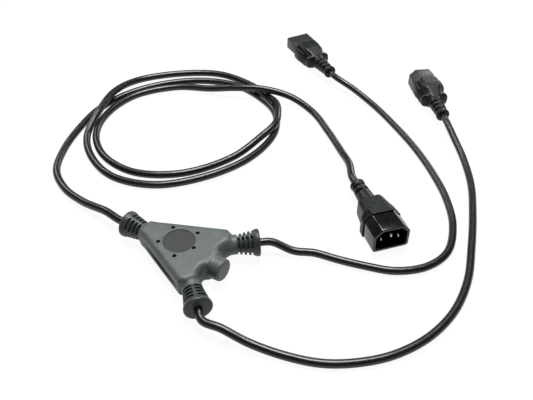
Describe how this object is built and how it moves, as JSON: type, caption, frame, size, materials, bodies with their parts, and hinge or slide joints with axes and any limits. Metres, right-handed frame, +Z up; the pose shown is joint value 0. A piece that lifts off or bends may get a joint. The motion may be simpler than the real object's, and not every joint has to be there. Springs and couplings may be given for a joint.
{
  "type": "power cord splitter",
  "caption": "Power cord splitter with an inlet plug on a long cord, a moulded Y junction with a blank stub, and outlet connectors on branch cords.",
  "frame": {"origin": "on the floor under the middle of the moulded junction, which lies flat", "axes": "+X along the input arm's axis, from the input gland to the blank stub; +Y towards the arm of branch a; +Z up"},
  "size_m": [0.3782, 0.3701, 0.0238],
  "materials": {
    "junction_pvc": "matte, finely textured",
    "body_pvc": "satin",
    "cord_pvc": "semi-gloss, extruded",
    "shroud_plastic": "gloss",
    "nose_plastic": "satin",
    "carrier_nylon": "natural",
    "tinned_metal": "bright plated",
    "contact_brass": "stamped",
    "earth_insulation": "extruded",
    "live_insulation": "extruded",
    "neutral_insulation": "extruded"
  },
  "bodies": {
    "root": {"junction_overmould": "junction_pvc", "splice_carrier": "carrier_nylon", "earth_splice": "tinned_metal", "live_splice": "tinned_metal", "neutral_splice": "tinned_metal", "input_earth_core": "earth_insulation", "input_live_core": "live_insulation", "input_neutral_core": "neutral_insulation", "output_a_earth_core": "earth_insulation", "output_a_live_core": "live_insulation", "output_a_neutral_core": "neutral_insulation", "output_b_earth_core": "earth_insulation", "output_b_live_core": "live_insulation", "output_b_neutral_core": "neutral_insulation", "plug_overmould": "body_pvc", "plug_shroud": "shroud_plastic", "plug_earth_pin": "tinned_metal", "plug_live_pin": "tinned_metal", "plug_neutral_pin": "tinned_metal", "plug_earth_core": "earth_insulation", "plug_live_core": "live_insulation", "plug_neutral_core": "neutral_insulation", "connector_a_overmould": "body_pvc", "connector_a_insert": "nose_plastic", "connector_a_earth_contact": "contact_brass", "connector_a_live_contact": "contact_brass", "connector_a_neutral_contact": "contact_brass", "connector_a_earth_core": "earth_insulation", "connector_a_live_core": "live_insulation", "connector_a_neutral_core": "neutral_insulation", "connector_b_overmould": "body_pvc", "connector_b_insert": "nose_plastic", "connector_b_earth_contact": "contact_brass", "connector_b_live_contact": "contact_brass", "connector_b_neutral_contact": "contact_brass", "connector_b_earth_core": "earth_insulation", "connector_b_live_core": "live_insulation", "connector_b_neutral_core": "neutral_insulation", "main_cord": "cord_pvc", "branch_cord_a": "cord_pvc", "branch_cord_b": "cord_pvc"}
  },
  "joints": []
}
